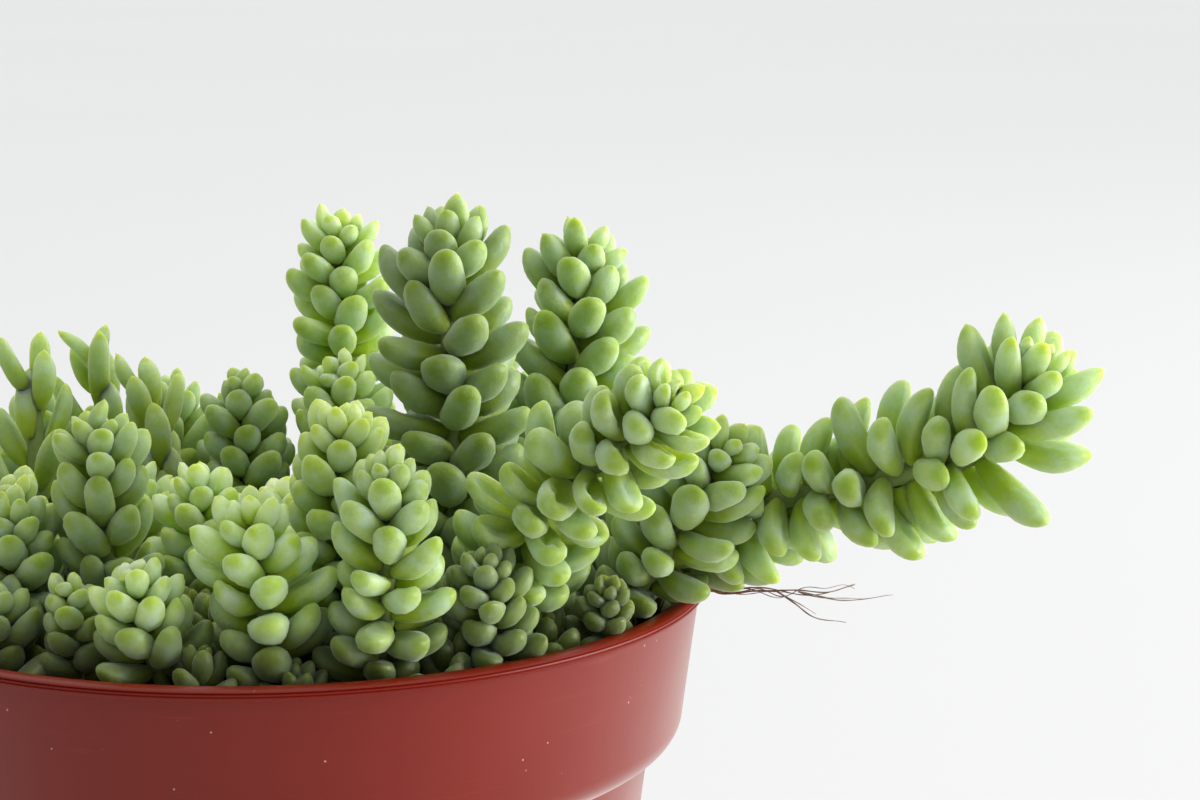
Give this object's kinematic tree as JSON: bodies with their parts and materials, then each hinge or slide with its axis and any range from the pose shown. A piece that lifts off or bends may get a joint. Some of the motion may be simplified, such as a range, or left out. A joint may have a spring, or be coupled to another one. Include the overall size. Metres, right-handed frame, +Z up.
{
  "type": "potted burro's tail plant",
  "caption": "Burro's tail succulent: dense spirals of plump blue-green leaves on upright and trailing stems in a round terracotta-red plastic nursery pot.",
  "frame": {"origin": "centre of the pot's flat underside", "axes": "+Z up through the pot's axis; +X towards the long trailing branch; the plant is seen along +Y"},
  "size_m": [0.1695, 0.12, 0.1514],
  "materials": {
    "pot_plastic": "satin",
    "potting_soil": "matte",
    "grey_green_leaf": "matte",
    "yellow_green_leaf": "matte",
    "dull_leaf": "matte",
    "dry_root": "matte"
  },
  "bodies": {
    "root": {"pot": "pot_plastic", "soil": "potting_soil", "branch_trailing": "grey_green_leaf", "branch_arching": "grey_green_leaf", "stem_centre": "grey_green_leaf", "stem_back_left": "grey_green_leaf", "stem_back_right": "grey_green_leaf", "stem_front": "grey_green_leaf", "stem_front_left": "grey_green_leaf", "stem_front_inner": "yellow_green_leaf", "stem_left": "grey_green_leaf", "stem_right_rim": "grey_green_leaf", "stem_low_left": "grey_green_leaf", "sprout_left": "grey_green_leaf", "stem_far_left": "grey_green_leaf", "stem_edge_left": "grey_green_leaf", "stem_mid_right": "grey_green_leaf", "sprout_right": "grey_green_leaf", "stem_inner_left": "grey_green_leaf", "stem_inner_front": "yellow_green_leaf", "stem_dark_bud": "grey_green_leaf", "stem_back_short": "grey_green_leaf", "stem_upright_left": "grey_green_leaf", "stem_upright_edge": "grey_green_leaf", "stem_pale_thin": "yellow_green_leaf", "stem_inner_edge": "yellow_green_leaf", "stem_middle_left": "grey_green_leaf", "stem_middle": "grey_green_leaf", "stem_middle_right": "grey_green_leaf", "stem_behind_centre": "grey_green_leaf", "stem_back_middle": "grey_green_leaf", "stem_back_dark": "grey_green_leaf", "stem_side_left": "grey_green_leaf", "stem_side_edge": "grey_green_leaf", "stem_side_back": "grey_green_leaf", "stem_back_edge": "grey_green_leaf", "stem_rear_left": "grey_green_leaf", "stem_rear": "grey_green_leaf", "stem_rear_right": "grey_green_leaf", "stem_side_right": "grey_green_leaf", "dry_roots": "dry_root", "fallen_leaf_1": "dull_leaf", "fallen_leaf_2": "dull_leaf", "fallen_leaf_3": "dull_leaf", "fallen_leaf_4": "dull_leaf", "fallen_leaf_5": "dull_leaf"}
  },
  "joints": []
}
